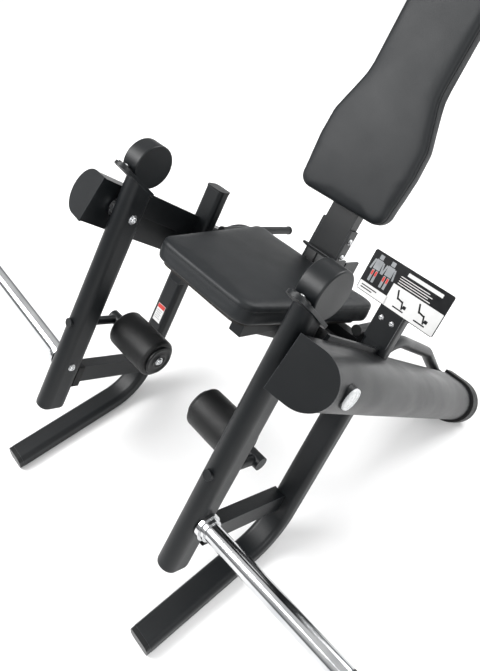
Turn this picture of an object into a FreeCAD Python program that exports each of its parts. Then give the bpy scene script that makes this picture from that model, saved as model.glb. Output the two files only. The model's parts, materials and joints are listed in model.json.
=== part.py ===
import FreeCAD, Part
import math
import os

from FreeCAD import Placement, Rotation, Vector

# Plate-loaded iso-lateral leg extension machine, millimetres, +Z up.
# The user sits facing -Y. Lengths below are measured from the floor and from the plane y = 0
# through the lower back of the lever arms; save() then moves the origin to the floor under the
# middle of the machine.
os.makedirs("parts", exist_ok=True)

# ---------------------------------------------------------------- driving dimensions

# Base tubes: flat-oval tube, floor run, bend and raked upright in one piece.
BASE_X = 353.0            # middle plane of each base tube
BASE_W = 75.0             # across the machine
BASE_T = 50.0             # height of the floor run
BASE_WALL = 4.0
BASE_FRONT_Y = -520.0
UPRIGHT_RAKE = 28.9       # degrees back from vertical
UPRIGHT_FOOT_Y = -47.0    # where the two straight runs would meet
BASE_BEND_R = 170.0
UPRIGHT_LEN = 805.0       # from the meeting point to the top of the stub

# Side tubes: D section, flat side inwards, sloping down to the back feet.
SIDE_INNER_X = 372.0
SIDE_H = 140.0
SIDE_FLAT = 54.0          # flat part of the top, from the inner face to the round side
SIDE_WALL = 5.0
SIDE_SLOPE = 43.0         # degrees below horizontal, towards the back
SIDE_FRONT_Y = -117.0     # centre of the front end
SIDE_FRONT_Z = 893.0
SIDE_LEN = 1210.0
CAP_T = 6.0
MITRE = 13.5              # degrees that the front end is cut back towards the outside

# Brace tubes inboard of the side tubes.
BRACE_X = 335.0
BRACE_R = 19.0

# Lever arms.
ARM_X = 318.5
ARM_W = 61.0              # across the machine
ARM_D = 97.0              # front to back
ARM_WALL = 4.0
ARM_RAKE = 30.2           # degrees back from vertical, at rest
PIVOT_Y = -42.0
PIVOT_Z = 834.0
ARM_BELOW = 680.0         # pivot to the lower end
ARM_ABOVE = 105.0         # pivot to the cut top end
PIVOT_R = 15.0
SPACER_R = 32.0
SPACER_GAP = 0.5

# Counterweight and the plate that carries it.
WEIGHT_R = 66.0
WEIGHT_W = 62.0
WEIGHT_UP = 161.0         # along the arm, from the pivot
WEIGHT_BACK = 6.0
TOP_OUT = 6.0             # the plate and the weight sit a little outside the arm's middle
FLANGE_T = 10.0

# Weight horn for 50 mm plates.
HORN_R = 25.0
HORN_LEN = 450.0
HORN_DOWN = 522.0         # along the arm, below the pivot
HORN_TILT = 7.0           # degrees, outer end up
COLLAR_R = 37.0
COLLAR_T = 14.0

# Ankle roller.
ROLLER_R = 62.0
ROLLER_IN = 101.0
ROLLER_OUT = 278.0
ROLLER_DOWN = 370.0       # along the arm, below the pivot
ROLLER_BACK = 139.0       # square to the arm, from its axis
CARRIER_R = 14.0
AXLE_R = 10.0
CORE_R = 22.0

# Seat.
SEAT_SLOPE = 27.0
SEAT_FRONT_Y = -34.0
SEAT_FRONT_Z = 848.0
SEAT_LEN = 535.0
SEAT_FRONT_HALF = 180.0
SEAT_REAR_HALF = 250.0
SEAT_T = 62.0
BOARD_T = 12.0
RAIL_X = 125.0

# Back rest.
BACK_Y = 514.0
BACK_Z = 841.0
BACK_RAKE = 32.5          # degrees back from vertical
BACK_LEN = 800.0
BACK_HALF = 172.0
BACK_WAIST_HALF = 122.0
BACK_T = 60.0

ORIGIN_Y = 218.7          # middle of the whole machine, front to back

MID = Vector(0, 0, 0)
X_AXIS = Vector(1, 0, 0)


# ---------------------------------------------------------------- helpers

def sin(degrees):
    return math.sin(math.radians(degrees))


def cos(degrees):
    return math.cos(math.radians(degrees))


def box(x0, x1, y0, y1, z0, z1):
    return Part.makeBox(x1 - x0, y1 - y0, z1 - z0, Vector(x0, y0, z0))


def rod(radius, start, end):
    start = Vector(*start)
    run = Vector(*end) - start
    return Part.makeCylinder(radius, run.Length, start, run)


def x_rod(radius, x0, x1, y, z):
    return rod(radius, (x0, y, z), (x1, y, z))


def turned(shape, degrees, y=0.0, z=0.0, axis=X_AXIS):
    """A copy turned about an axis through (0, y, z)."""
    copy = shape.copy()
    copy.rotate(Vector(0, y, z), axis, degrees)
    return copy


def moved(shape, x=0.0, y=0.0, z=0.0):
    copy = shape.copy()
    copy.translate(Vector(x, y, z))
    return copy


def mirrored(shape):
    return shape.mirror(MID, X_AXIS)


def save(name, *shapes):
    shape = shapes[0] if len(shapes) == 1 else Part.makeCompound(list(shapes))
    shape = moved(shape, y=-ORIGIN_Y)
    shape.exportStep(os.path.join("parts", name + ".step"))


def save_pair(name, *shapes):
    """The right-hand piece (+X) and its mirror image on the left."""
    save("right_" + name, *shapes)
    save("left_" + name, *[mirrored(s) for s in shapes])


def stadium(width, depth, length):
    """A flat-oval bar along +Z, centred on the axis; width along X, depth along Y."""
    r = min(width, depth) / 2
    if depth >= width:
        h = depth / 2 - r
        middle = box(-r, r, -h, h, 0, length)
        ends = [rod(r, (0, s * h, 0), (0, s * h, length)) for s in (-1, 1)]
    else:
        h = width / 2 - r
        middle = box(-h, h, -r, r, 0, length)
        ends = [rod(r, (s * h, 0, 0), (s * h, 0, length)) for s in (-1, 1)]
    if h < 0.01:
        return ends[0]
    return middle.fuse(ends).removeSplitter()


def profile_wire(points):
    return Part.makePolygon([Vector(*p) for p in points] + [Vector(*points[0])])


def rounded(shape, radius, chosen):
    edges = [e for e in shape.Edges if chosen(e)]
    return shape.makeFillet(radius, edges)


def bend_point(centre, radius, degrees):
    return Vector(0, centre[0] + radius * cos(degrees), centre[1] + radius * sin(degrees))


def round_box_wire(width, height, radius, y, z):
    """Rounded rectangle in the plane square to Y, centred at (0, y, z)."""
    w = width / 2
    h = height / 2
    k = radius * (1 - math.sqrt(0.5))
    edges = []
    for sx, sz in ((1, 1), (-1, 1), (-1, -1), (1, -1)):
        side = Vector(sx * w, y, z + sz * (h - radius))
        mid = Vector(sx * (w - k), y, z + sz * (h - k))
        flat = Vector(sx * (w - radius), y, z + sz * h)
        ends = (side, flat) if sx * sz > 0 else (flat, side)
        edges.append(Part.Arc(ends[0], mid, ends[1]).toShape())
    loop = []
    for i, arc in enumerate(edges):
        following = edges[(i + 1) % 4]
        loop.append(arc)
        start = arc.lastVertex().Point
        end = following.firstVertex().Point
        loop.append(Part.makeLine(start, end))
    return Part.Wire(Part.__sortEdges__(loop))


# ---------------------------------------------------------------- frame

def base_solid(width, height, radius):
    """Floor run, bend and upright of one base tube, centred on x = 0."""
    axis_z = BASE_T / 2
    turn = 90 - UPRIGHT_RAKE
    tangent = BASE_BEND_R * math.tan(math.radians(turn / 2))
    centre = (UPRIGHT_FOOT_Y - tangent, axis_z + BASE_BEND_R)
    start = Vector(0, BASE_FRONT_Y, axis_z)
    bend_in = bend_point(centre, BASE_BEND_R, -90)
    bend_mid = bend_point(centre, BASE_BEND_R, -90 + turn / 2)
    bend_out = bend_point(centre, BASE_BEND_R, -90 + turn)
    up = Vector(0, sin(UPRIGHT_RAKE), cos(UPRIGHT_RAKE))
    top = Vector(0, UPRIGHT_FOOT_Y, axis_z) + up * UPRIGHT_LEN
    spine = Part.Wire([
        Part.makeLine(start, bend_in),
        Part.Arc(bend_in, bend_mid, bend_out).toShape(),
        Part.makeLine(bend_out, top),
    ])
    profile = round_box_wire(width, height, radius, BASE_FRONT_Y, axis_z)
    return spine.makePipeShell([profile], True, False)


def upright_point(along, across=0.0):
    """A point beside the upright's axis: along it, and square to it towards the back."""
    y = UPRIGHT_FOOT_Y + along * sin(UPRIGHT_RAKE) + across * cos(UPRIGHT_RAKE)
    z = BASE_T / 2 + along * cos(UPRIGHT_RAKE) - across * sin(UPRIGHT_RAKE)
    return y, z


def on_upright(shape, along, across=0.0, x=BASE_X):
    y, z = upright_point(along, across)
    return moved(turned(shape, -UPRIGHT_RAKE), x, y, z)


def side_solid(offset, start, end):
    """D-section bar, grown by offset; start and end run along the tube from its front end."""
    r = SIDE_H / 2 + offset
    flat = SIDE_FLAT
    face = Part.Face(Part.Wire([
        Part.makeLine(Vector(-offset, 0, -r), Vector(flat, 0, -r)),
        Part.Arc(Vector(flat, 0, -r), Vector(flat + r, 0, 0), Vector(flat, 0, r)).toShape(),
        Part.makeLine(Vector(flat, 0, r), Vector(-offset, 0, r)),
        Part.makeLine(Vector(-offset, 0, r), Vector(-offset, 0, -r)),
    ]))
    bar = moved(face.extrude(Vector(0, end - start, 0)), 0, start, 0)
    return on_side(bar)


def mitred(start, end):
    """A slab square to the slanted front end of the side tube."""
    slab = box(-400, 600, start, end, -200, 200)
    return on_side(turned(slab, MITRE, axis=Vector(0, 0, 1)))


def on_side(shape):
    return moved(turned(shape, -SIDE_SLOPE), SIDE_INNER_X, SIDE_FRONT_Y, SIDE_FRONT_Z)


def on_seat(shape):
    """Places a shape modelled with Y along the seat from its front edge and Z square to it."""
    return moved(turned(shape, -SEAT_SLOPE), 0, SEAT_FRONT_Y, SEAT_FRONT_Z)


def on_back(shape):
    """Places a shape modelled with Z up the back rest and Y square to it, towards the rear."""
    return moved(turned(shape, -BACK_RAKE), 0, BACK_Y, BACK_Z)


def base_tubes():
    tube = base_solid(BASE_W, BASE_T, 16)
    bore = base_solid(BASE_W - 2 * BASE_WALL, BASE_T - 2 * BASE_WALL, 12)
    return moved(tube, BASE_X), moved(tube.cut(bore), BASE_X)


def frame():
    base_full, base = base_tubes()
    side = side_solid(0, 0, SIDE_LEN).cut(side_solid(-SIDE_WALL, -5, SIDE_LEN + 5))
    side = side.cut(mitred(-300, 0))
    cover_x = SIDE_INNER_X + SIDE_FLAT + 73
    housing_outer = x_rod(30, SIDE_INNER_X - 6, cover_x, PIVOT_Y, PIVOT_Z)
    side = side.cut(base_full).cut(housing_outer)
    save_pair("base_tube", base)
    save_pair("side_tube", side)

    cap = side_solid(2, -60, 60).common(mitred(-CAP_T, 0))
    save("side_tube_caps", cap, mirrored(cap))

    boot = side_solid(9, SIDE_LEN - 25, SIDE_LEN + 45).cut(side_solid(0, SIDE_LEN - 150, SIDE_LEN))
    boot = boot.cut(box(0, 700, 0, 1500, -200, 0))
    save("rear_feet", boot, mirrored(boot))

    plug_body = box(-BASE_W / 2 + 1, BASE_W / 2 - 1, -14, 0, 1, BASE_T - 1)
    plug_body = rounded(plug_body, 14, lambda e: abs(e.tangentAt(0).y) > 0.9)
    plug = moved(plug_body, BASE_X, BASE_FRONT_Y)
    save("front_plugs", plug, mirrored(plug))

    lid = box(-BASE_W / 2 - 1, BASE_W / 2 + 1, -BASE_T / 2 - 1, BASE_T / 2 + 1, 0, 7)
    lid = rounded(lid, 16, lambda e: abs(e.tangentAt(0).z) > 0.9)
    lid = on_upright(lid, UPRIGHT_LEN)
    save("upright_caps", lid, mirrored(lid))

    housing = housing_outer.cut(x_rod(24, 300, 600, PIVOT_Y, PIVOT_Z))
    save("pivot_housings", housing, mirrored(housing))
    bearings = []
    for x in (SIDE_INNER_X - 5, SIDE_INNER_X + 104):
        ring = x_rod(24, x, x + 15, PIVOT_Y, PIVOT_Z)
        ring = ring.cut(x_rod(PIVOT_R + 0.05, x - 1, x + 16, PIVOT_Y, PIVOT_Z))
        bearings += [ring, mirrored(ring)]
    save("pivot_bearings", *bearings)
    cover = x_rod(27.5, cover_x, cover_x + 6, PIVOT_Y, PIVOT_Z)
    cover = rounded(cover, 2, lambda e: e.BoundBox.XMin > cover_x + 5.9)
    save("pivot_covers", cover, mirrored(cover))

    rail = box(-10, 0, 130, 455, SIDE_H / 2 - 60, SIDE_H / 2 + 14)
    rail = on_side(rail).cut(base_full)
    save("side_rails", rail, mirrored(rail))

    inner = BASE_X - BASE_W / 2
    front = on_seat(box(-inner, inner, 335, 435, -184, -124))
    front = front.cut(on_seat(box(-inner - 1, inner + 1, 339, 431, -180, -128)))
    save("front_cross_tube", front)
    rear = box(-SIDE_INNER_X, SIDE_INNER_X, -40, 40, -30, 30)
    rear = rear.cut(box(-SIDE_INNER_X - 1, SIDE_INNER_X + 1, -36, 36, -26, 26))
    save("rear_cross_tube", moved(turned(rear, -SIDE_SLOPE), 0, 468, 347))
    return base_full, lid, rail


def stops(base_full):
    """Stop tubes from the uprights forward to rubber blocks behind the lever arms."""
    along = -(PIVOT_Z - 335) / cos(ARM_RAKE)
    tube = box(-20, 20, ARM_D / 2 + 26, 520, -30, 30)
    tube = tube.cut(box(-17, 17, ARM_D / 2, 530, -27, 27))
    tube = arm_place(moved(tube, 13.5, 0, along))
    behind = on_upright(box(-100, 100, -BASE_T / 2, 600, -900, 900), 0)
    tube = tube.cut(behind)
    save("stop_tubes", tube, mirrored(tube))
    block = box(-24, 24, ARM_D / 2 + 0.4, ARM_D / 2 + 26, -42, 36)
    block = rounded(block, 6, lambda e: abs(e.tangentAt(0).y) > 0.9)
    block = arm_place(moved(block, 8, 0, along))
    save("stop_blocks", block, mirrored(block))


def handles(base_full):
    bar = on_seat(rod(14, (280, 400, -48), (280, 769, -48)))
    link = on_seat(box(RAIL_X + 20, 280, 430, 470, -113, -83)).cut(bar)
    post = on_seat(box(262, 298, 432, 468, -113, -50)).cut(bar)
    bracket = link.cut(post)
    welded = [bar, bracket, post]
    save("seat_handles", *welded, *[mirrored(s) for s in welded])
    tip = on_seat(rod(15.5, (280, 769, -48), (280, 775, -48)))
    front = on_seat(rod(15.5, (280, 394, -48), (280, 400, -48)))
    save("handle_caps", tip, front, mirrored(tip), mirrored(front))

    # brace tube from the back of the upright down beside the side tube to its lower end
    start_y, start_z = upright_point(600, BASE_T / 2 - 8)
    points = [
        Vector(BRACE_X, start_y, start_z),
        Vector(BRACE_X, 425, 545),
        Vector(BRACE_X, 656, 319),
        Vector(BRACE_X, 782, 120),
    ]
    brace = bent_tube(points, BRACE_R, 160)
    brace = brace.fuse(x_rod(14, BRACE_X, SIDE_INNER_X, 770, 137))
    brace = brace.cut(base_full)
    save("brace_tubes", brace, mirrored(brace))


def bent_tube(points, radius, bend):
    """Round bar through the points, with an arc of the bend radius at each inner point."""
    edges = []
    last = points[0]
    for before, corner, after in zip(points, points[1:], points[2:]):
        back = (before - corner).normalize()
        on = (after - corner).normalize()
        half = back.getAngle(on) / 2
        reach = bend / math.tan(half)
        a = corner + back * reach
        b = corner + on * reach
        inward = (back + on).normalize()
        mid = corner + inward * (bend / math.sin(half) - bend)
        edges.append(Part.makeLine(last, a))
        edges.append(Part.Arc(a, mid, b).toShape())
        last = b
    edges.append(Part.makeLine(last, points[-1]))
    spine = Part.Wire(edges)
    circle = Part.makeCircle(radius, points[0], points[1] - points[0])
    return spine.makePipeShell([Part.Wire([circle])], True, False)


def seat():
    front = SEAT_FRONT_HALF
    rear = SEAT_REAR_HALF
    outline = [(-front, 0, 0), (front, 0, 0), (rear, SEAT_LEN, 0), (-rear, SEAT_LEN, 0)]
    pad = Part.Face(profile_wire(outline)).extrude(Vector(0, 0, -SEAT_T))
    pad = rounded(pad, 55, lambda e: abs(e.tangentAt(0).z) > 0.9)
    pad = rounded(pad, 14, lambda e: e.BoundBox.ZMin > -1)
    save("seat_pad", on_seat(pad))
    inset = [(math.copysign(abs(x) - 22, x), 22 + y * (SEAT_LEN - 44) / SEAT_LEN, 0) for x, y, z in outline]
    board = Part.Face(profile_wire(inset)).extrude(Vector(0, 0, -BOARD_T))
    board = rounded(board, 40, lambda e: abs(e.tangentAt(0).z) > 0.9)
    save("seat_board", on_seat(moved(board, 0, 0, -SEAT_T)))
    rails = []
    for side in (-1, 1):
        x = side * RAIL_X
        bar = box(x - 20, x + 20, 75, 505, -124, -SEAT_T - BOARD_T)
        bar = bar.cut(box(x - 17, x + 17, 78, 502, -121, -SEAT_T - BOARD_T - 3))
        rails.append(on_seat(bar))
    for side in (-1, 1):
        x = side * RAIL_X
        web = [(x - 4, 120, -124), (x - 4, 335, -184), (x - 4, 335, -124)]
        plate = Part.Face(profile_wire(web)).extrude(Vector(8, 0, 0))
        rails.append(on_seat(plate))
    save("seat_rails", *rails)
    receiver = box(-45, 45, 300, 600, -124, -74)
    receiver = receiver.cut(box(-40, 40, 290, 610, -119, -79))
    for s in (488, 590):
        receiver = receiver.cut(rod(5.4, (0, s, -130), (0, s, -110)))
    receiver = receiver.cut(box(-5.4, 5.4, 488, 590, -130, -110))
    save("back_receiver", on_seat(receiver))


def sign(lid, rail):
    tab = box(-35, 35, -4, 0, -95, 14)
    board = box(-118, 118, -4.2, -1.2, 2, 122)
    board = rounded(board, 6, lambda e: abs(e.tangentAt(0).y) > 0.9)
    across = -BASE_T / 2
    tab = on_upright(tab.cut(board), UPRIGHT_LEN, across)
    save("sign_bracket", tab.cut(lid).cut(rail))
    save("sign_board", on_upright(board, UPRIGHT_LEN, across))
    bolts = [on_upright(rod(6.5, (x, -8, -28), (x, -4, -28)), UPRIGHT_LEN, across) for x in (-16, 16)]
    save("sign_bolts", *bolts)


# ---------------------------------------------------------------- back rest

def back_outline(grow):
    low = -45 - grow
    top = BACK_LEN - 45 + grow
    wide = BACK_HALF + grow
    waist = BACK_WAIST_HALF + grow
    half = [(wide - 12, low), (wide, 120), (wide - 4, 205), (waist, 345), (waist, top - 60), (waist - 12, top)]
    right = [(x, 0, z) for x, z in half]
    left = [(-x, 0, z) for x, z in reversed(half)]
    return right + left


def back_rest():
    pad = Part.Face(profile_wire(back_outline(0))).extrude(Vector(0, BACK_T, 0))
    corner = lambda e: abs(e.tangentAt(0).y) > 0.9 and (e.BoundBox.ZMin < 0 or e.BoundBox.ZMin > 700)
    pad = rounded(pad, 42, corner)
    pad = rounded(pad, 12, lambda e: e.BoundBox.YMax < 1)
    save("back_pad", on_back(pad))
    board = Part.Face(profile_wire(back_outline(-20))).extrude(Vector(0, 14, 0))
    save("back_board", on_back(moved(board, 0, BACK_T, 0)))
    behind = BACK_T + 14
    post = box(-49, 49, behind, behind + 40, -215, 420)
    post = post.cut(box(-45, 45, behind + 4, behind + 36, -220, 425))
    save("back_post", on_back(post))

    slider = box(-39.7, 39.7, 345, 700, -118.7, -79.3)
    slider = slider.cut(box(-35, 35, 340, 705, -114, -84))
    save("back_slider", on_seat(slider))
    end_plate = on_seat(box(-57, 57, 700, 712, -140, -60))
    cheeks = []
    bolts = []
    for side in (-1, 1):
        x = 49 if side > 0 else -57
        foot = on_seat(box(x, x + 8, 465, 700, -140, -80))
        tower = on_seat(box(x, x + 8, 620, 700, -80, 20))
        grip = on_back(box(x, x + 8, behind, behind + 40, -215, -100))
        lower = on_back(box(x, x + 8, behind, behind + 66, -330, -200))
        under = on_seat(box(-100, 100, 300, 900, -400, -140))
        beyond = on_seat(box(-100, 100, 700, 1200, -400, 400))
        cheek = foot.fuse([tower, grip, lower]).cut(under).cut(beyond)
        cheeks.append(cheek.removeSplitter())
        head = 57 if side > 0 else -64
        for up in (-190, -135):
            centre = behind + 20
            bolt = rod(9, (head, centre, up), (head + 7, centre, up))
            bolts.append(on_back(bolt))
    save("carriage_cheeks", *cheeks)
    save("carriage_bolts", *bolts)
    bridge = on_seat(box(-49, 49, 470, 506, -140, -132))
    bridge = bridge.cut(on_seat(rod(5.3, (0, 488, -150), (0, 488, -120))))
    save("carriage_plates", bridge, end_plate)
    pin = rod(5, (0, 488, -160), (0, 488, -119.4))
    knob = rod(12, (0, 488, -172), (0, 488, -160))
    save("latch_pin", on_seat(pin.fuse(knob)))

    pivot = (484, 600)
    tip = (446, 648)
    loop = [
        Vector(-64, *pivot),
        Vector(-64, *tip),
        Vector(64, *tip),
        Vector(64, *pivot),
    ]
    handle = bent_tube(loop, 4.5, 18)
    ears = [x_rod(8, x, x + 9, *pivot) for x in (-68.5, 59.5)]
    save("release_lever", handle.fuse(ears))


# ---------------------------------------------------------------- lever arms

def arm_place(shape):
    """Places a shape modelled about the pivot with Z up the arm and Y towards the back."""
    return moved(turned(shape, -ARM_RAKE), ARM_X, PIVOT_Y, PIVOT_Z)


def on_cut(shape):
    """Places a shape modelled on the sloping top of the arm, in the arm's own frame."""
    return moved(turned(shape, -26.5), 0, 0, ARM_ABOVE - FLANGE_T)


def arm():
    tube = moved(stadium(ARM_W, ARM_D, ARM_BELOW + 200), 0, 0, -ARM_BELOW)
    bore = stadium(ARM_W - 2 * ARM_WALL, ARM_D - 2 * ARM_WALL, ARM_BELOW + 220)
    tube = tube.cut(moved(bore, 0, 0, -ARM_BELOW - 10))
    tube = tube.cut(on_cut(box(-200, 200, -300, 300, 0, 400)))
    tube = tube.cut(x_rod(PIVOT_R, -60, 60, 0, 0))
    roller_z = -ROLLER_DOWN
    tube = tube.cut(rod(CARRIER_R, (0, -80, roller_z), (0, 80, roller_z)))
    save_pair("arm_tube", arm_place(tube))

    plug = moved(stadium(ARM_W - 2, ARM_D - 2, 10), 0, 0, -ARM_BELOW - 10)
    plug = plug.makeChamfer(5, [e for e in plug.Edges if e.BoundBox.ZMax < -ARM_BELOW - 9.9])

    plate = moved(stadium(72, 178, FLANGE_T), 0, -24, 0)
    plate = moved(on_cut(plate), TOP_OUT)
    save_pair("flange_plate", arm_place(plate))
    inner = TOP_OUT - WEIGHT_W / 2
    weight = x_rod(WEIGHT_R, inner, inner + WEIGHT_W, WEIGHT_BACK, WEIGHT_UP)
    weight = weight.makeFillet(5, [e for e in weight.Edges if e.Closed and e.Length > 300])
    weight = weight.cut(on_cut(box(-200, 200, -300, 300, -400, FLANGE_T)))
    save_pair("counterweight", arm_place(weight))
    boss = rod(25, (0, -83, FLANGE_T), (0, -83, FLANGE_T + 4))
    boss = moved(on_cut(boss), TOP_OUT).cut(weight)
    boss = max(boss.Solids, key=lambda s: s.Volume)
    save_pair("top_boss", arm_place(boss))

    shaft = x_rod(PIVOT_R, -ARM_W / 2, SIDE_INNER_X + 120 - ARM_X, 0, 0)
    save_pair("pivot_shaft", arm_place(shaft))
    spacer = x_rod(SPACER_R, ARM_W / 2, SIDE_INNER_X - 6 - SPACER_GAP - ARM_X, 0, 0)
    save_pair("pivot_spacer", arm_place(spacer.cut(shaft)))
    heads = [x_rod(11, -ARM_W / 2 - 8, -ARM_W / 2, 0, z) for z in (0, -HORN_DOWN)]
    heads.append(x_rod(14, ROLLER_IN - 11 - ARM_X, ROLLER_IN - 4 - ARM_X, ROLLER_BACK, -ROLLER_DOWN))
    tip = moved(on_cut(rod(7, (0, -83, FLANGE_T + 4), (0, -83, FLANGE_T + 9))), TOP_OUT)
    save_pair("arm_bolts", *[arm_place(s) for s in heads + [tip]])

    horn_tube = x_rod(HORN_R, -10, HORN_LEN, 0, 0).cut(x_rod(HORN_R - 4, -20, HORN_LEN + 10, 0, 0))
    collar = x_rod(COLLAR_R, -10, COLLAR_T, 0, 0)
    step = x_rod(COLLAR_R - 6, COLLAR_T, COLLAR_T + 12, 0, 0)
    horn = horn_tube.fuse([collar.cut(x_rod(HORN_R, -20, 60, 0, 0)), step.cut(x_rod(HORN_R, -20, 60, 0, 0))])
    inside = box(-300, 0, -200, 200, -200, 200)
    end = x_rod(HORN_R - 4, HORN_LEN - 20, HORN_LEN, 0, 0)
    end = end.fuse(x_rod(HORN_R, HORN_LEN, HORN_LEN + 4, 0, 0))
    horn_y = PIVOT_Y - HORN_DOWN * sin(ARM_RAKE)
    horn_z = PIVOT_Z - HORN_DOWN * cos(ARM_RAKE)

    def on_horn(shape):
        tilted = turned(shape, -HORN_TILT, axis=Vector(0, 1, 0)).cut(inside)
        return moved(tilted, ARM_X + ARM_W / 2, horn_y, horn_z)

    save_pair("weight_horn", on_horn(horn.removeSplitter()))
    save_pair("arm_end_caps", arm_place(plug), on_horn(end))


def roller_carrier():
    z = -ROLLER_DOWN
    bar = rod(CARRIER_R, (0, -ARM_D / 2 - 8, z), (0, ROLLER_BACK, z))
    hub = x_rod(20, -22, 22, ROLLER_BACK, z)
    axle = x_rod(AXLE_R, ROLLER_IN - 4 - ARM_X, -22, ROLLER_BACK, z)
    save_pair("roller_carrier", arm_place(bar.fuse([hub, axle]).removeSplitter()))


def roller():
    z = -ROLLER_DOWN
    x0 = ROLLER_IN - ARM_X
    x1 = ROLLER_OUT - ARM_X
    foam = x_rod(ROLLER_R, x0 + 3, x1 - 3, ROLLER_BACK, z)
    foam = foam.makeFillet(12, [e for e in foam.Edges if e.Closed and e.Length > 300])
    foam = foam.cut(x_rod(CORE_R, x0 - 1, x1 + 1, ROLLER_BACK, z))
    save_pair("roller_foam", arm_place(foam))
    core = x_rod(CORE_R, x0 + 1, x1 - 1, ROLLER_BACK, z)
    for a, b in ((x0 - 3, x0 + 2), (x1 - 2, x1 + 1)):
        core = core.fuse(x_rod(46, a, b, ROLLER_BACK, z))
    core = core.cut(x_rod(AXLE_R + 0.06, x0 - 5, x1 + 20, ROLLER_BACK, z))
    foam_space = x_rod(ROLLER_R, x0 + 3, x1 - 3, ROLLER_BACK, z)
    core = core.cut(foam_space.cut(x_rod(CORE_R, x0, x1, ROLLER_BACK, z)))
    save_pair("roller_core", arm_place(core))


base, lid, rail = frame()
stops(base)
seat()
handles(base)
sign(lid, rail)
back_rest()
arm()
roller_carrier()
roller()
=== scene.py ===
import json
import math

import bmesh
import bpy
from mathutils import Matrix, Vector
from mathutils.bvhtree import BVHTree


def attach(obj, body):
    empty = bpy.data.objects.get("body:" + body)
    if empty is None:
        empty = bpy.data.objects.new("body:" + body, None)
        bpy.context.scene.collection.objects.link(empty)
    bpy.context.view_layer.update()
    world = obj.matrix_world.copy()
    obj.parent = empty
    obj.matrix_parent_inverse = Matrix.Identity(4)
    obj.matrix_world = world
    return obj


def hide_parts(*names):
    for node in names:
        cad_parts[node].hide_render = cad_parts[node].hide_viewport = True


# Looks of a plate-loaded iso-lateral leg extension machine, in metres, in the CAD frame.

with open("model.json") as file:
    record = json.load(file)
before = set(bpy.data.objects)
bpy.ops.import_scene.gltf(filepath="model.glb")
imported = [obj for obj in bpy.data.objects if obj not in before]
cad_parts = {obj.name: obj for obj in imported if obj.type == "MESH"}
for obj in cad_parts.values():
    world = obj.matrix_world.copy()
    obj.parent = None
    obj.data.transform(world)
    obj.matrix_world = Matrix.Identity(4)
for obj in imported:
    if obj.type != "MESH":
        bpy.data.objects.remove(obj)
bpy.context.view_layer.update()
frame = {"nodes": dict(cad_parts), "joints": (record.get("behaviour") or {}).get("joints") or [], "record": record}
nodes = frame["nodes"]
record = frame["record"]
joints = {joint["name"]: joint for joint in frame["joints"]}

# ---------------------------------------------------------------- the design's own dimensions

ORIGIN_Y = 0.2187
SEAT_SLOPE = math.radians(27.0)
SEAT_FRONT = (0.0, -0.034, 0.848)
SEAT_LEN = 0.535
SEAT_FRONT_HALF = 0.180
SEAT_REAR_HALF = 0.250
SEAT_T = 0.062
BACK_RAKE = math.radians(32.5)
BACK_FOOT = (0.0, 0.514, 0.841)
BACK_LEN = 0.800
BACK_HALF = 0.172
BACK_WAIST_HALF = 0.122
BACK_T = 0.060
ARM_RAKE = math.radians(30.2)
ARM_HALF_W = 0.0305
HORN_DOWN = 0.522
ROLLER_IN = 0.101
ROLLER_OUT = 0.278
ROLLER_DOWN = 0.370
ROLLER_BACK = 0.139
CORE_R = 0.022
UPRIGHT_RAKE = math.radians(28.9)
UPRIGHT_FOOT = (0.353, -0.047, 0.025)
UPRIGHT_LEN = 0.805
UPRIGHT_HALF_T = 0.025
COVER_X = 0.499
FLANGE_TURN = math.radians(26.5)
FLANGE_UP = 0.095
TOP_OUT = 0.006
SIDES = (("right", 1.0), ("left", -1.0))

# ---------------------------------------------------------------- sizes of the padded work

ROLL_R = 0.013
SKIN_VOXEL = 0.005
SEAM_STEP = 0.008
SEAM_REACH = 0.009
SEAM_DEPTH = 0.0014
WELT_R = 0.0007
WELT_SINK = 0.0004
SWELL_FRAMES = 20
ROLLER_SEGMENTS = 96


def place(turn, at):
    """Frame of a part of the machine that leans back by turn about X."""
    spot = Vector(at) - Vector((0.0, ORIGIN_Y, 0.0))
    return Matrix.Translation(spot) @ Matrix.Rotation(-turn, 4, "X")


SEAT = place(SEAT_SLOPE, SEAT_FRONT)
BACK = place(BACK_RAKE, BACK_FOOT)
UPRIGHT = place(UPRIGHT_RAKE, UPRIGHT_FOOT)
FACE_UP = Matrix.Rotation(math.radians(90), 4, "X")


def arm_frame(side):
    pivot = Vector(joints[side + "_arm_swing"]["pos_m"])
    return Matrix.Translation(pivot) @ Matrix.Rotation(-ARM_RAKE, 4, "X")


# ---------------------------------------------------------------- materials

def node_tools(name):
    material = bpy.data.materials.new(name)
    material.use_nodes = True
    tree = material.node_tree
    tree.nodes.clear()
    output = tree.nodes.new("ShaderNodeOutputMaterial")
    shader = tree.nodes.new("ShaderNodeBsdfPrincipled")
    tree.links.new(shader.outputs["BSDF"], output.inputs["Surface"])
    return material, tree, shader


def ramp(tree, source, low, high, start=0.3, end=0.7):
    node = tree.nodes.new("ShaderNodeValToRGB")
    node.color_ramp.elements[0].position = start
    node.color_ramp.elements[1].position = end
    node.color_ramp.elements[0].color = (*low, 1.0)
    node.color_ramp.elements[1].color = (*high, 1.0)
    tree.links.new(source, node.inputs["Fac"])
    return node.outputs["Color"]


def spread(tree, source, low, high, start=0.3, end=0.7):
    node = tree.nodes.new("ShaderNodeMapRange")
    node.inputs["From Min"].default_value = start
    node.inputs["From Max"].default_value = end
    node.inputs["To Min"].default_value = low
    node.inputs["To Max"].default_value = high
    tree.links.new(source, node.inputs["Value"])
    return node.outputs["Result"]


def noise(tree, coordinate, scale, detail=3.0):
    node = tree.nodes.new("ShaderNodeTexNoise")
    node.inputs["Scale"].default_value = scale
    node.inputs["Detail"].default_value = detail
    tree.links.new(coordinate, node.inputs["Vector"])
    return node.outputs["Fac"]


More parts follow.
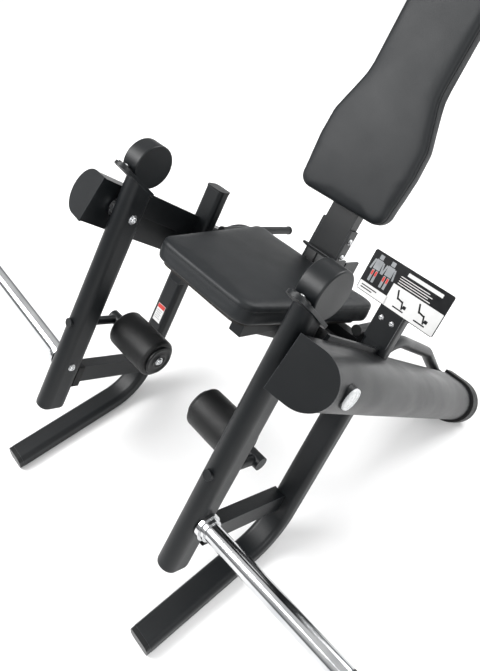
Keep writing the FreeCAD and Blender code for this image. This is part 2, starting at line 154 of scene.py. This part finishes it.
def cells(tree, coordinate, scale):
    node = tree.nodes.new("ShaderNodeTexVoronoi")
    node.feature = "DISTANCE_TO_EDGE"
    node.inputs["Scale"].default_value = scale
    tree.links.new(coordinate, node.inputs["Vector"])
    return node.outputs["Distance"]


def stretched(tree, coordinate, scales):
    node = tree.nodes.new("ShaderNodeMapping")
    node.inputs["Scale"].default_value = scales
    tree.links.new(coordinate, node.inputs["Vector"])
    return node.outputs["Vector"]


def bumped(tree, shader, heights, radius):
    """Chains bump nodes, (height socket, distance, strength), over softened edges."""
    soft = None
    if radius:
        soft = tree.nodes.new("ShaderNodeBevel")
        soft.samples = 4
        soft.inputs["Radius"].default_value = radius
    normal = soft.outputs["Normal"] if soft else None
    for height, distance, strength in heights:
        bump = tree.nodes.new("ShaderNodeBump")
        bump.inputs["Distance"].default_value = distance
        bump.inputs["Strength"].default_value = strength
        tree.links.new(height, bump.inputs["Height"])
        if normal:
            tree.links.new(normal, bump.inputs["Normal"])
        normal = bump.outputs["Normal"]
    tree.links.new(normal, shader.inputs["Normal"])
    return soft


def painted_edge_highlight_mask(tree, soft):
    """1 where the softened normal leaves the face's own, along the edges; it places the painted edge highlight."""
    geometry = tree.nodes.new("ShaderNodeNewGeometry")
    dot = tree.nodes.new("ShaderNodeVectorMath")
    dot.operation = "DOT_PRODUCT"
    tree.links.new(soft.outputs["Normal"], dot.inputs[0])
    tree.links.new(geometry.outputs["Normal"], dot.inputs[1])
    return spread(tree, dot.outputs["Value"], 1.0, 0.0, 0.80, 0.99)


def finish_material(
        name, low, high, rough, grain, texture,
        edge=None, radius=0.0015, metallic=0.0, mottle=9.0, specular=0.32):
    """Low and high are the two ends of the colour's slow variation, rough those of roughness. Edge is a lighter
    colour mixed in along the edges as a painted highlight.
    """
    material, tree, shader = node_tools(name)
    here = tree.nodes.new("ShaderNodeTexCoord").outputs["Object"]
    slow = noise(tree, here, mottle, 4.0)
    fine = noise(tree, here, grain, 2.0)
    colour = ramp(tree, slow, low, high)
    heights = []
    if texture == "orange_peel":
        heights = [(fine, 0.0004, 0.25), (noise(tree, here, grain * 2.7, 1.0), 0.0002, 0.25)]
    elif texture == "leather":
        heights = [(cells(tree, here, grain), 0.0007, 0.35), (fine, 0.0004, 0.3)]
    elif texture == "foam":
        heights = [(fine, 0.0008, 0.4), (noise(tree, here, grain * 3.1, 1.0), 0.0004, 0.4)]
    elif texture == "turned":
        lines = noise(tree, stretched(tree, here, (30.0, 1.0, 1.0)), grain, 2.0)
        heights = [(lines, 0.00008, 0.3)]
    else:
        heights = [(fine, 0.0003, 0.2)]
    soft = bumped(tree, shader, heights, radius)
    # Painted highlight: the edge colour lightens the base colour along the softened edges, standing in for the
    # light that rounded edges catch.
    if edge and soft:
        mix = tree.nodes.new("ShaderNodeMix")
        mix.data_type = "RGBA"
        tree.links.new(painted_edge_highlight_mask(tree, soft), mix.inputs[0])
        tree.links.new(colour, mix.inputs[6])
        mix.inputs[7].default_value = (*edge, 1.0)
        colour = mix.outputs[2]
    tree.links.new(colour, shader.inputs["Base Color"])
    roughness = spread(tree, noise(tree, here, mottle * 3.3, 3.0), rough[0], rough[1])
    tree.links.new(roughness, shader.inputs["Roughness"])
    shader.inputs["Metallic"].default_value = metallic
    shader.inputs["Specular IOR Level"].default_value = specular
    return material


MATERIALS = {
    # The powder coat's edge colour is a painted highlight along its edges.
    "black_powder_coat": finish_material(
        "black_powder_coat", (0.0032, 0.0041, 0.0050), (0.0050, 0.0062, 0.0073), (0.36, 0.44),
        900.0, "orange_peel", edge=(0.050, 0.057, 0.064), mottle=3.0),
    "black_vinyl": finish_material(
        "black_vinyl", (0.0066, 0.0080, 0.0094), (0.0082, 0.0098, 0.0114), (0.46, 0.52),
        620.0, "leather", radius=0.0, mottle=3.0),
    "black_foam": finish_material(
        "black_foam", (0.0030, 0.0032, 0.0035), (0.0048, 0.0051, 0.0055), (0.42, 0.52),
        1100.0, "foam", radius=0.0, mottle=8.0),
    "black_rubber": finish_material(
        "black_rubber", (0.0040, 0.0042, 0.0045), (0.0070, 0.0072, 0.0076), (0.55, 0.70), 700.0, "foam"),
    # The plastic's edge colour is a painted highlight along its edges.
    "black_plastic": finish_material(
        "black_plastic", (0.0040, 0.0044, 0.0048), (0.0060, 0.0066, 0.0072), (0.34, 0.44),
        1300.0, "plain", edge=(0.04, 0.043, 0.046), radius=0.001),
    "plywood": finish_material(
        "plywood", (0.012, 0.011, 0.010), (0.028, 0.025, 0.022), (0.60, 0.75), 500.0, "foam", radius=0.0),
    "chrome": finish_material(
        "chrome", (0.46, 0.47, 0.48), (0.62, 0.625, 0.63), (0.07, 0.13), 260.0, "turned",
        radius=0.001, metallic=1.0),
    "zinc_steel": finish_material(
        "zinc_steel", (0.60, 0.61, 0.62), (0.74, 0.75, 0.76), (0.22, 0.34), 800.0, "plain",
        radius=0.0008, metallic=1.0, mottle=60.0),
    "silver_cover": finish_material(
        "silver_cover", (0.50, 0.51, 0.52), (0.60, 0.61, 0.62), (0.24, 0.32), 900.0, "plain",
        radius=0.0008, mottle=40.0),
    "printed_sign": finish_material(
        "printed_sign", (0.0050, 0.0052, 0.0060), (0.0075, 0.0078, 0.0088), (0.30, 0.40), 900.0, "plain",
        radius=0.0006, mottle=20.0),
}


def ink(name, low, high):
    return finish_material(name, low, high, (0.34, 0.44), 800.0, "plain", radius=0.0, mottle=30.0)


PRINT_WHITE = ink("print_white", (0.58, 0.58, 0.575), (0.65, 0.65, 0.645))
PRINT_GREY = ink("print_grey", (0.20, 0.21, 0.22), (0.28, 0.29, 0.30))
PRINT_RED = ink("print_red", (0.42, 0.035, 0.03), (0.55, 0.05, 0.04))

slot_of = {part["node"]: part["material_slot"] for part in record["subparts"]}
for node_name, node_object in nodes.items():
    node_object.data.materials.clear()
    node_object.data.materials.append(MATERIALS[slot_of[node_name]])


# ---------------------------------------------------------------- mesh helpers

def new_object(name, mesh):
    piece = bpy.data.objects.new(name, mesh)
    bpy.context.scene.collection.objects.link(piece)
    return piece


def from_bmesh(name, bm, smooth=True):
    bmesh.ops.recalc_face_normals(bm, faces=bm.faces)
    mesh = bpy.data.meshes.new(name)
    bm.to_mesh(mesh)
    bm.free()
    for face in mesh.polygons:
        face.use_smooth = smooth
    return new_object(name, mesh)


def baked(piece):
    """Replaces the mesh with what the modifiers make of it."""
    graph = bpy.context.evaluated_depsgraph_get()
    mesh = bpy.data.meshes.new_from_object(piece.evaluated_get(graph))
    piece.modifiers.clear()
    piece.data = mesh


def sharp_by_angle(piece, degrees=35.0):
    limit = math.radians(degrees)
    bm = bmesh.new()
    bm.from_mesh(piece.data)
    for edge in bm.edges:
        if len(edge.link_faces) == 2 and edge.calc_face_angle(0.0) > limit:
            edge.smooth = False
    bm.to_mesh(piece.data)
    bm.free()


def dress(piece, material, body, slot, *replaced):
    piece.data.materials.clear()
    piece.data.materials.append(material)
    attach(piece, body)
    if replaced:
        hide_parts(*replaced)
    return piece


def add_lathe(bm, profile, matrix, segments=48):
    """Turns (radius, height) points about the matrix's Z axis; the ends close on the axis."""
    rings = []
    for radius, height in profile:
        if radius < 1e-6:
            rings.append([bm.verts.new(matrix @ Vector((0.0, 0.0, height)))])
            continue
        ring = []
        for k in range(segments):
            angle = 2 * math.pi * k / segments
            spot = Vector((radius * math.cos(angle), radius * math.sin(angle), height))
            ring.append(bm.verts.new(matrix @ spot))
        rings.append(ring)
    for a, b in zip(rings, rings[1:]):
        for k in range(segments):
            n = (k + 1) % segments
            if len(a) == 1:
                bm.faces.new((a[0], b[k], b[n]))
            elif len(b) == 1:
                bm.faces.new((a[k], b[0], a[n]))
            else:
                bm.faces.new((a[k], b[k], b[n], a[n]))


def pointing(at, direction):
    """A frame at a point whose Z axis runs along direction."""
    turn = Vector(direction).to_track_quat("Z", "Y").to_matrix().to_4x4()
    return Matrix.Translation(Vector(at)) @ turn


def add_bolt(bm, at, direction, radius, height):
    """Button head on a washer, with a round socket recess."""
    here = pointing(at, direction)
    washer = radius * 1.25
    ring = [(0.0, 0.0), (washer, 0.0), (washer, 0.0012), (washer * 0.97, 0.0016), (0.0, 0.0016)]
    add_lathe(bm, ring, here, 32)
    dome = [(0.0, 0.001)]
    for k in range(7):
        angle = math.radians(90) * k / 6
        dome.append((radius * (0.62 + 0.38 * math.cos(angle)), 0.002 + (height - 0.002) * math.sin(angle)))
    dome.append((radius * 0.50, height))
    dome.append((radius * 0.44, height - 0.0006))
    dome.append((radius * 0.42, height * 0.45))
    dome.append((0.0, height * 0.40))
    add_lathe(bm, dome, here, 36)


def rounded_outline(corners, radii, steps=10):
    """Corner points of a closed outline, each replaced by an arc."""
    outline = []
    count = len(corners)
    for k, (corner, radius) in enumerate(zip(corners, radii)):
        here = Vector(corner)
        back = (Vector(corners[k - 1]) - here).normalized()
        onward = (Vector(corners[(k + 1) % count]) - here).normalized()
        half = back.angle(onward) / 2
        reach = radius / math.tan(half)
        centre = here + (back + onward).normalized() * (radius / math.sin(half))
        first = here + back * reach - centre
        last = here + onward * reach - centre
        for step in range(steps + 1):
            outline.append(centre + arc(first, last, step / steps))
    return outline


def arc(first, last, t):
    """The point a fraction t round from one radius vector to another, in the plane."""
    start = math.atan2(first.y, first.x)
    turn = math.atan2(last.y, last.x) - start
    turn = (turn + math.pi) % (2 * math.pi) - math.pi
    angle = start + turn * t
    return Vector((math.cos(angle), math.sin(angle))) * first.length


def resampled(outline, step):
    """The closed outline again, with points about a step apart."""
    points = []
    for a, b in zip(outline, outline[1:] + outline[:1]):
        pieces = max(1, round((b - a).length / step))
        points += [a.lerp(b, k / pieces) for k in range(pieces)]
    return points


# ---------------------------------------------------------------- padded pieces

def swell(pad, held, limit):
    """Inflates a closed pad as cloth under pressure; the points that held() names stay put."""
    start = [v.co.copy() for v in pad.data.vertices]
    group = pad.vertex_groups.new(name="held")
    group.add([v.index for v in pad.data.vertices if held(v.co)], 1.0, "REPLACE")
    cloth = pad.modifiers.new("swell", "CLOTH")
    cloth.settings.quality = 5
    cloth.settings.mass = 0.3
    cloth.settings.tension_stiffness = 20
    cloth.settings.compression_stiffness = 20
    cloth.settings.shear_stiffness = 8
    cloth.settings.bending_stiffness = 2
    cloth.settings.use_pressure = True
    cloth.settings.uniform_pressure_force = 4
    cloth.settings.effector_weights.gravity = 0
    cloth.settings.vertex_group_mass = "held"
    cloth.point_cache.frame_start = 1
    cloth.point_cache.frame_end = SWELL_FRAMES
    scene = bpy.context.scene
    for number in range(1, SWELL_FRAMES + 1):
        scene.frame_set(number)
    graph = bpy.context.evaluated_depsgraph_get()
    swollen = [v.co.copy() for v in pad.evaluated_get(graph).data.vertices]
    pad.modifiers.clear()
    pad.vertex_groups.clear()
    scene.frame_set(1)
    for vertex, before, after in zip(pad.data.vertices, start, swollen):
        shift = after - before
        if shift.length > limit:
            shift *= limit / shift.length
        vertex.co = before + shift


def cushion(name, outline, thickness, crown, reach, matrix, seam_z):
    """A crowned pad: x across, y along, z out of its face, which starts near z = 0."""
    inset = 0.0015
    middle = sum(outline, Vector((0.0, 0.0))) / len(outline)
    bm = bmesh.new()
    low = []
    high = []
    for point in outline:
        pulled = point - (point - middle).normalized() * inset
        low.append(bm.verts.new((pulled.x, pulled.y, -thickness)))
        high.append(bm.verts.new((pulled.x, pulled.y, -0.002)))
    bm.faces.new(list(reversed(low)))
    bm.faces.new(high)
    for k in range(len(low)):
        n = (k + 1) % len(low)
        bm.faces.new((low[k], low[n], high[n], high[k]))
    pad = from_bmesh(name, bm)
    bevel = pad.modifiers.new("roll", "BEVEL")
    bevel.width = ROLL_R
    bevel.segments = 5
    bevel.limit_method = "ANGLE"
    bevel.angle_limit = math.radians(50)
    remesh = pad.modifiers.new("skin", "REMESH")
    remesh.mode = "VOXEL"
    remesh.voxel_size = SKIN_VOXEL
    baked(pad)
    wide = max(v.co.x for v in pad.data.vertices)
    ends = [min(v.co.y for v in pad.data.vertices), max(v.co.y for v in pad.data.vertices)]
    for vertex in pad.data.vertices:
        up = max(0.0, (vertex.co.z + thickness / 2) / (thickness / 2))
        across = max(0.0, 1 - (vertex.co.x / wide) ** 2)
        along = (vertex.co.y - ends[0]) / (ends[1] - ends[0])
        vertex.co.z += crown * up * across * min(1.0, 4 * along * (1 - along))
    swell(pad, lambda co: co.z < -thickness + 0.003, reach)
    smooth = pad.modifiers.new("even", "SMOOTH")
    smooth.factor = 0.5
    smooth.iterations = 10
    baked(pad)
    ring = seam_ring(pad, outline, seam_z)
    pinch(pad, ring)
    subdivision = pad.modifiers.new("fine", "SUBSURF")
    subdivision.levels = 1
    subdivision.render_levels = 1
    baked(pad)
    for face in pad.data.polygons:
        face.use_smooth = True
    pad.data.transform(matrix)
    welt = piping(name + "_welt", [p - n * WELT_SINK for p, n in ring], WELT_R)
    welt.data.transform(matrix)
    return pad, welt


def surface_tree(piece):
    vertices = [v.co.copy() for v in piece.data.vertices]
    faces = [tuple(p.vertices) for p in piece.data.polygons]
    return BVHTree.FromPolygons(vertices, faces)


def seam_ring(pad, outline, height):
    """Points, with normals, where the side seam meets the pad's skin."""
    skin = surface_tree(pad)
    middle = sum(outline, Vector((0.0, 0.0))) / len(outline)
    ring = []
    points = resampled(outline, SEAM_STEP)
    for k, point in enumerate(points):
        before = points[k - 1]
        after = points[(k + 1) % len(points)]
        run = (after - before).normalized()
        out = Vector((run.y, -run.x))
        if out.dot(point - middle) < 0 and abs(out.dot((point - middle).normalized())) > 0.3:
            out = -out
        start = Vector((point.x + out.x * 0.04, point.y + out.y * 0.04, height))
        hit = skin.ray_cast(start, Vector((-out.x, -out.y, 0.0)), 0.12)
        if hit[0] is not None:
            ring.append((hit[0], hit[1]))
    return ring


def pinch(pad, ring):
    """Draws the skin in a little along the seam."""
    for vertex in pad.data.vertices:
        if abs(ring[0][0].z - vertex.co.z) > SEAM_REACH:
            continue
        near = min(ring, key=lambda p: (p[0] - vertex.co).length_squared)
        gap = (near[0] - vertex.co).length
        if gap < SEAM_REACH:
            vertex.co -= near[1] * SEAM_DEPTH * (1 - gap / SEAM_REACH)


def piping(name, points, radius):
    """A closed round cord through the points."""
    curve = bpy.data.curves.new(name, "CURVE")
    curve.dimensions = "3D"
    curve.bevel_depth = radius
    curve.bevel_resolution = 3
    spline = curve.splines.new("POLY")
    spline.points.add(len(points) - 1)
    for spot, point in zip(spline.points, points):
        spot.co = (*point, 1.0)
    spline.use_cyclic_u = True
    drawn = new_object(name + "_line", curve)
    graph = bpy.context.evaluated_depsgraph_get()
    mesh = bpy.data.meshes.new_from_object(drawn.evaluated_get(graph))
    bpy.data.objects.remove(drawn)
    for face in mesh.polygons:
        face.use_smooth = True
    return new_object(name, mesh)


def seat():
    corners = [
        (-SEAT_FRONT_HALF, 0.0), (SEAT_FRONT_HALF, 0.0),
        (SEAT_REAR_HALF, SEAT_LEN), (-SEAT_REAR_HALF, SEAT_LEN)]
    outline = rounded_outline(corners, [0.050, 0.050, 0.032, 0.032])
    pad, welt = cushion("seat_cushion", outline, SEAT_T, 0.006, 0.003, SEAT, -0.019)
    dress(pad, MATERIALS["black_vinyl"], "frame", "black_vinyl", "seat_pad")
    dress(welt, MATERIALS["black_vinyl"], "frame", "black_vinyl")


def back_rest():
    top = BACK_LEN - 0.045
    half = [
        (BACK_HALF - 0.012, -0.045, 0.042), (BACK_HALF, 0.120, 0.30), (BACK_HALF - 0.004, 0.205, 0.09),
        (BACK_WAIST_HALF, 0.345, 0.20), (BACK_WAIST_HALF, top - 0.060, 0.060),
        (BACK_WAIST_HALF - 0.012, top, 0.035)]
    right = [((x, y), r) for x, y, r in half]
    left = [((-x, y), r) for x, y, r in reversed(half)]
    corners = [c for c, r in right + left]
    radii = [r for c, r in right + left]
    outline = rounded_outline(corners, radii, 8)
    pad, welt = cushion("back_cushion", outline, BACK_T, 0.005, 0.003, BACK @ FACE_UP, -0.018)
    dress(pad, MATERIALS["black_vinyl"], "back_rest", "black_vinyl", "back_pad")
    dress(welt, MATERIALS["black_vinyl"], "back_rest", "black_vinyl")


def rollers():
    for side, sign in SIDES:
        arm = arm_frame(side)
        axis = arm @ Vector((0.0, ROLLER_BACK, -ROLLER_DOWN))
        outer = Vector((sign * ROLLER_IN, axis.y, axis.z))
        here = pointing(outer, (sign, 0.0, 0.0))
        length = ROLLER_OUT - ROLLER_IN
        profile = [(CORE_R + 0.0003, 0.0035), (0.040, 0.0030), (0.046, 0.0026)]
        for k in range(9):
            angle = math.radians(90) * k / 8
            profile.append((0.050 + 0.0118 * math.sin(angle), 0.0140 - 0.0115 * math.cos(angle)))
        for k in range(1, 12):
            t = k / 12
            profile.append((0.0618 + 0.0006 * math.sin(math.pi * t), 0.0140 + (length - 0.028) * t))
        for k in range(9):
            angle = math.radians(90) * k / 8
            profile.append((0.050 + 0.0118 * math.cos(angle), length - 0.0140 + 0.0115 * math.sin(angle)))
        profile += [(0.040, length - 0.0030), (CORE_R + 0.0003, length - 0.0035)]
        bm = bmesh.new()
        add_lathe(bm, profile, here, ROLLER_SEGMENTS)
        bm.verts.ensure_lookup_table()
        count = ROLLER_SEGMENTS
        for k in range(count):
            n = (k + 1) % count
            a, b = bm.verts[k], bm.verts[n]
            c, d = bm.verts[len(bm.verts) - count + n], bm.verts[len(bm.verts) - count + k]
            bm.faces.new((a, b, c, d))
        pad = from_bmesh(side + "_roller_pad", bm)
        dress(pad, MATERIALS["black_foam"], side + "_roller", "black_foam", side + "_roller_foam")

        bm = bmesh.new()
        dish = [(0.0125, -0.0032), (0.020, -0.0034), (0.022, -0.0050), (0.024, -0.0034), (0.036, -0.0032),
                (0.039, -0.0052), (0.043, -0.0056), (0.0462, -0.0042), (0.0468, -0.0005), (0.0462, 0.0015),
                (0.0125, 0.0010), (0.0125, -0.0032)]
        add_lathe(bm, dish, here, 64)
        bmesh.ops.remove_doubles(bm, verts=bm.verts, dist=1e-6)
        end = from_bmesh(side + "_roller_dish", bm)
        sharp_by_angle(end, 50)
        dress(end, MATERIALS["black_plastic"], side + "_roller", "black_plastic")


def steel_heads(name, bm, body, replaced):
    heads = from_bmesh(name, bm)
    sharp_by_angle(heads, 40)
    dress(heads, MATERIALS["zinc_steel"], body, "zinc_steel", replaced)


def fasteners():
    for side, sign in SIDES:
        arm = arm_frame(side)
        bm = bmesh.new()
        inward = (-sign, 0.0, 0.0)
        for z in (0.0, -HORN_DOWN):
            spot = arm @ Vector((-sign * ARM_HALF_W, 0.0, z))
            add_bolt(bm, spot, inward, 0.0095, 0.0075)
        axle = arm @ Vector((0.0, ROLLER_BACK, -ROLLER_DOWN))
        add_bolt(bm, (sign * (ROLLER_IN - 0.004), axle.y, axle.z), inward, 0.0105, 0.0068)
        lean = Matrix.Rotation(-FLANGE_TURN, 4, "X")
        flange = arm @ Matrix.Translation((sign * TOP_OUT, 0.0, FLANGE_UP)) @ lean
        normal = flange.to_3x3() @ Vector((0.0, 0.0, 1.0))
        add_bolt(bm, flange @ Vector((0.0, -0.083, 0.014)), normal, 0.0072, 0.0050)
        steel_heads(side + "_arm_bolt_heads", bm, side + "_arm", side + "_arm_bolts")

    bm = bmesh.new()
    for up in (-0.190, -0.135):
        for sign in (1.0, -1.0):
            spot = BACK @ Vector((0.0, BACK_T + 0.014 + 0.020, up))
            add_bolt(bm, (sign * 0.057, spot.y, spot.z), (sign, 0.0, 0.0), 0.0078, 0.0068)
    steel_heads("carriage_bolt_heads", bm, "back_rest", "carriage_bolts")

    bm = bmesh.new()
    outward = UPRIGHT.to_3x3() @ Vector((0.0, -1.0, 0.0))
    for x in (-0.016, 0.016):
        spot = UPRIGHT @ Vector((x, -UPRIGHT_HALF_T - 0.004, UPRIGHT_LEN - 0.028))
        add_bolt(bm, spot, outward, 0.0056, 0.0042)
    steel_heads("sign_bolt_heads", bm, "frame", "sign_bolts")

    pivot = Vector(joints["right_arm_swing"]["pos_m"])
    bm = bmesh.new()
    for sign in (1.0, -1.0):
        here = pointing((sign * COVER_X, pivot.y, pivot.z), (sign, 0.0, 0.0))
        disc = [(0.0, 0.0), (0.0275, 0.0), (0.0275, 0.0040), (0.0265, 0.0055), (0.0245, 0.0060),
                (0.0225, 0.0058), (0.0218, 0.0046), (0.0196, 0.0044), (0.0188, 0.0052),
                (0.010, 0.0055), (0.0, 0.0056)]
        add_lathe(bm, disc, here, 64)
    covers = from_bmesh("pivot_cover_discs", bm)
    sharp_by_angle(covers, 40)
    dress(covers, MATERIALS["silver_cover"], "frame", "silver_cover", "pivot_covers")


# ---------------------------------------------------------------- print and stickers

def tile(bm, matrix, x0, x1, z0, z1, y, thickness=0.0003, tilt=0.0, corner=0.0012):
    """A thin rounded label patch that lies on the face y, looking to -Y."""
    middle = Vector(((x0 + x1) / 2, 0.0, (z0 + z1) / 2))
    w = (x1 - x0) / 2
    h = (z1 - z0) / 2
    r = min(corner, w * 0.9, h * 0.9)
    turn = Matrix.Rotation(tilt, 3, "Y")
    rings = []
    for depth in (y, y - thickness):
        ring = []
        for k in range(16):
            quarter, part = divmod(k, 4)
            angle = math.radians(90 * quarter + 30 * part)
            cx = (w - r) * (1 if quarter in (0, 3) else -1)
            cz = (h - r) * (1 if quarter in (0, 1) else -1)
            spot = turn @ Vector((cx + r * math.cos(angle), 0.0, cz + r * math.sin(angle)))
            ring.append(bm.verts.new(matrix @ (spot + middle + Vector((0.0, depth, 0.0)))))
        rings.append(ring)
    bm.faces.new(rings[0])
    bm.faces.new(list(reversed(rings[1])))
    for k in range(16):
        n = (k + 1) % 16
        bm.faces.new((rings[0][k], rings[0][n], rings[1][n], rings[1][k]))


def printed(name, material, body, tiles, matrix, y):
    bm = bmesh.new()
    for x0, x1, z0, z1, *tilt in tiles:
        tile(bm, matrix, x0, x1, z0, z1, y, tilt=tilt[0] if tilt else 0.0)
    piece = from_bmesh(name, bm, smooth=False)
    return dress(piece, material, body, "printed_sign")


def machine_pictogram(x, z, size):
    """A seated-machine symbol made of bars: seat, back, lever and roller."""
    s = size
    return [
        (x - 0.30 * s, x + 0.10 * s, z - 0.05 * s, z + 0.05 * s, math.radians(12)),
        (x - 0.42 * s, x - 0.32 * s, z - 0.05 * s, z + 0.50 * s, math.radians(-20)),
        (x + 0.06 * s, x + 0.15 * s, z - 0.45 * s, z + 0.05 * s, math.radians(-18)),
        (x - 0.36 * s, x + 0.34 * s, z - 0.55 * s, z - 0.47 * s),
        (x + 0.18 * s, x + 0.38 * s, z - 0.34 * s, z - 0.14 * s),
    ]


def sign():
    here = UPRIGHT @ Matrix.Translation((0.0, -UPRIGHT_HALF_T - 0.0042, UPRIGHT_LEN - 0.016))
    printed("sign_band", PRINT_WHITE, "frame", [
        (-0.116, -0.028, 0.020, 0.044),
        (-0.032, 0.116, 0.020, 0.084),
    ], here, 0.0)
    lines = [(-0.010, 0.092, 0.118, 0.128)]
    for k in range(4):
        lines.append((-0.024, 0.062 + 0.010 * (k % 2), 0.1085 - 0.0065 * k, 0.1105 - 0.0065 * k))
    printed("sign_lines", PRINT_WHITE, "frame", lines, here, 0.0)
    figures = []
    for x in (-0.092, -0.056):
        figures += [
            (x - 0.006, x + 0.006, 0.118, 0.131), (x - 0.010, x + 0.010, 0.088, 0.116),
            (x - 0.017, x - 0.012, 0.084, 0.114, math.radians(8)),
            (x + 0.012, x + 0.017, 0.084, 0.114, math.radians(-8)),
            (x - 0.009, x - 0.002, 0.052, 0.086), (x + 0.002, x + 0.009, 0.052, 0.086)]
    printed("sign_figures", PRINT_GREY, "frame", figures, here, 0.0)
    thighs = []
    for x in (-0.092, -0.056):
        thighs += [(x - 0.008, x - 0.003, 0.070, 0.084), (x + 0.003, x + 0.008, 0.070, 0.084)]
    printed("sign_marks", PRINT_RED, "frame", thighs, here, -0.0003)
    marks = machine_pictogram(0.010, 0.054, 0.046) + machine_pictogram(0.074, 0.054, 0.046)
    marks += [(-0.108, -0.060, 0.034, 0.037), (-0.108, -0.072, 0.027, 0.030)]
    printed("sign_pictograms", MATERIALS["printed_sign"], "frame", marks, here, -0.0003)


def stickers():
    left = place(UPRIGHT_RAKE, (-UPRIGHT_FOOT[0], UPRIGHT_FOOT[1], UPRIGHT_FOOT[2]))
    here = left @ Matrix.Translation((0.0, -UPRIGHT_HALF_T, 0.0))
    printed("upright_label", PRINT_WHITE, "frame", [(-0.020, 0.016, 0.285, 0.352)], here, 0.0)
    printed("upright_label_strip", PRINT_RED, "frame", [(-0.019, 0.015, 0.336, 0.351)], here, -0.0003)
    bars = [(-0.016, 0.010 - 0.004 * (k % 2), 0.3265 - 0.0075 * k, 0.3290 - 0.0075 * k) for k in range(5)]
    printed("upright_label_bars", PRINT_GREY, "frame", bars, here, -0.0003)


# ---------------------------------------------------------------- studio

def studio():
    bm = bmesh.new()
    floor_half = 14.0
    quarters = ((-1, -1), (1, -1), (1, 1), (-1, 1))
    corners = [bm.verts.new((x * floor_half, y * floor_half, -0.0005)) for x, y in quarters]
    bm.faces.new(corners)
    floor = from_bmesh("studio_floor", bm, smooth=False)
    floor.data.materials.append(finish_material(
        "studio_floor", (0.86, 0.86, 0.86), (0.90, 0.90, 0.90), (0.75, 0.85), 40.0, "plain",
        radius=0.0, mottle=1.5))

    world = bpy.data.worlds.new("studio")
    bpy.context.scene.world = world
    world.use_nodes = True
    tree = world.node_tree
    background = tree.nodes["Background"]
    where = tree.nodes.new("ShaderNodeTexCoord").outputs["Generated"]
    split = tree.nodes.new("ShaderNodeSeparateXYZ")
    tree.links.new(where, split.inputs[0])
    sky = ramp(tree, split.outputs["Z"], (0.16, 0.165, 0.175), (1.0, 1.0, 1.0), 0.02, 0.62)
    tree.links.new(sky, background.inputs["Color"])
    background.inputs["Strength"].default_value = 0.9

    for name, at, size, power in (
            ("key", (-2.2, -2.4, 3.4), 2.2, 210.0),
            ("fill", (3.2, -1.6, 2.4), 2.0, 60.0),
            ("rim", (0.6, 3.2, 3.0), 2.4, 150.0)):
        light = bpy.data.lights.new(name, "AREA")
        light.energy = power
        light.size = size
        lamp = bpy.data.objects.new(name, light)
        bpy.context.scene.collection.objects.link(lamp)
        lamp.location = at
        aim = Vector((0.0, 0.0, 0.6)) - Vector(at)
        lamp.rotation_euler = aim.to_track_quat("-Z", "Y").to_euler()


def tone():
    view = bpy.context.scene.view_settings
    view.view_transform = "Standard"
    view.look = "None"
    view.exposure = 0.0
    view.gamma = 1.0


def camera():
    azimuth = math.radians(52.7)
    pitch = math.radians(40.0)
    roll = math.radians(-1.2)
    back = Vector((
        math.sin(azimuth) * math.cos(pitch), -math.cos(azimuth) * math.cos(pitch), math.sin(pitch)))
    right = (-back).cross(Vector((0.0, 0.0, 1.0))).normalized()
    up = right.cross(-back)
    across = right * math.cos(roll) + up * math.sin(roll)
    upward = up * math.cos(roll) - right * math.sin(roll)
    data = bpy.data.cameras.new("camera")
    data.sensor_width = 36.0
    data.lens = 34.97
    data.shift_x = 0.104
    data.shift_y = -0.141
    data.clip_start = 0.05
    data.clip_end = 60.0
    view = bpy.data.objects.new("camera", data)
    bpy.context.scene.collection.objects.link(view)
    turn = Matrix((across, upward, back)).transposed().to_4x4()
    view.matrix_world = Matrix.Translation((0.9359, -1.0613, 1.9778)) @ turn
    bpy.context.scene.camera = view


seat()
back_rest()
rollers()
fasteners()
sign()
stickers()
studio()
tone()
camera()
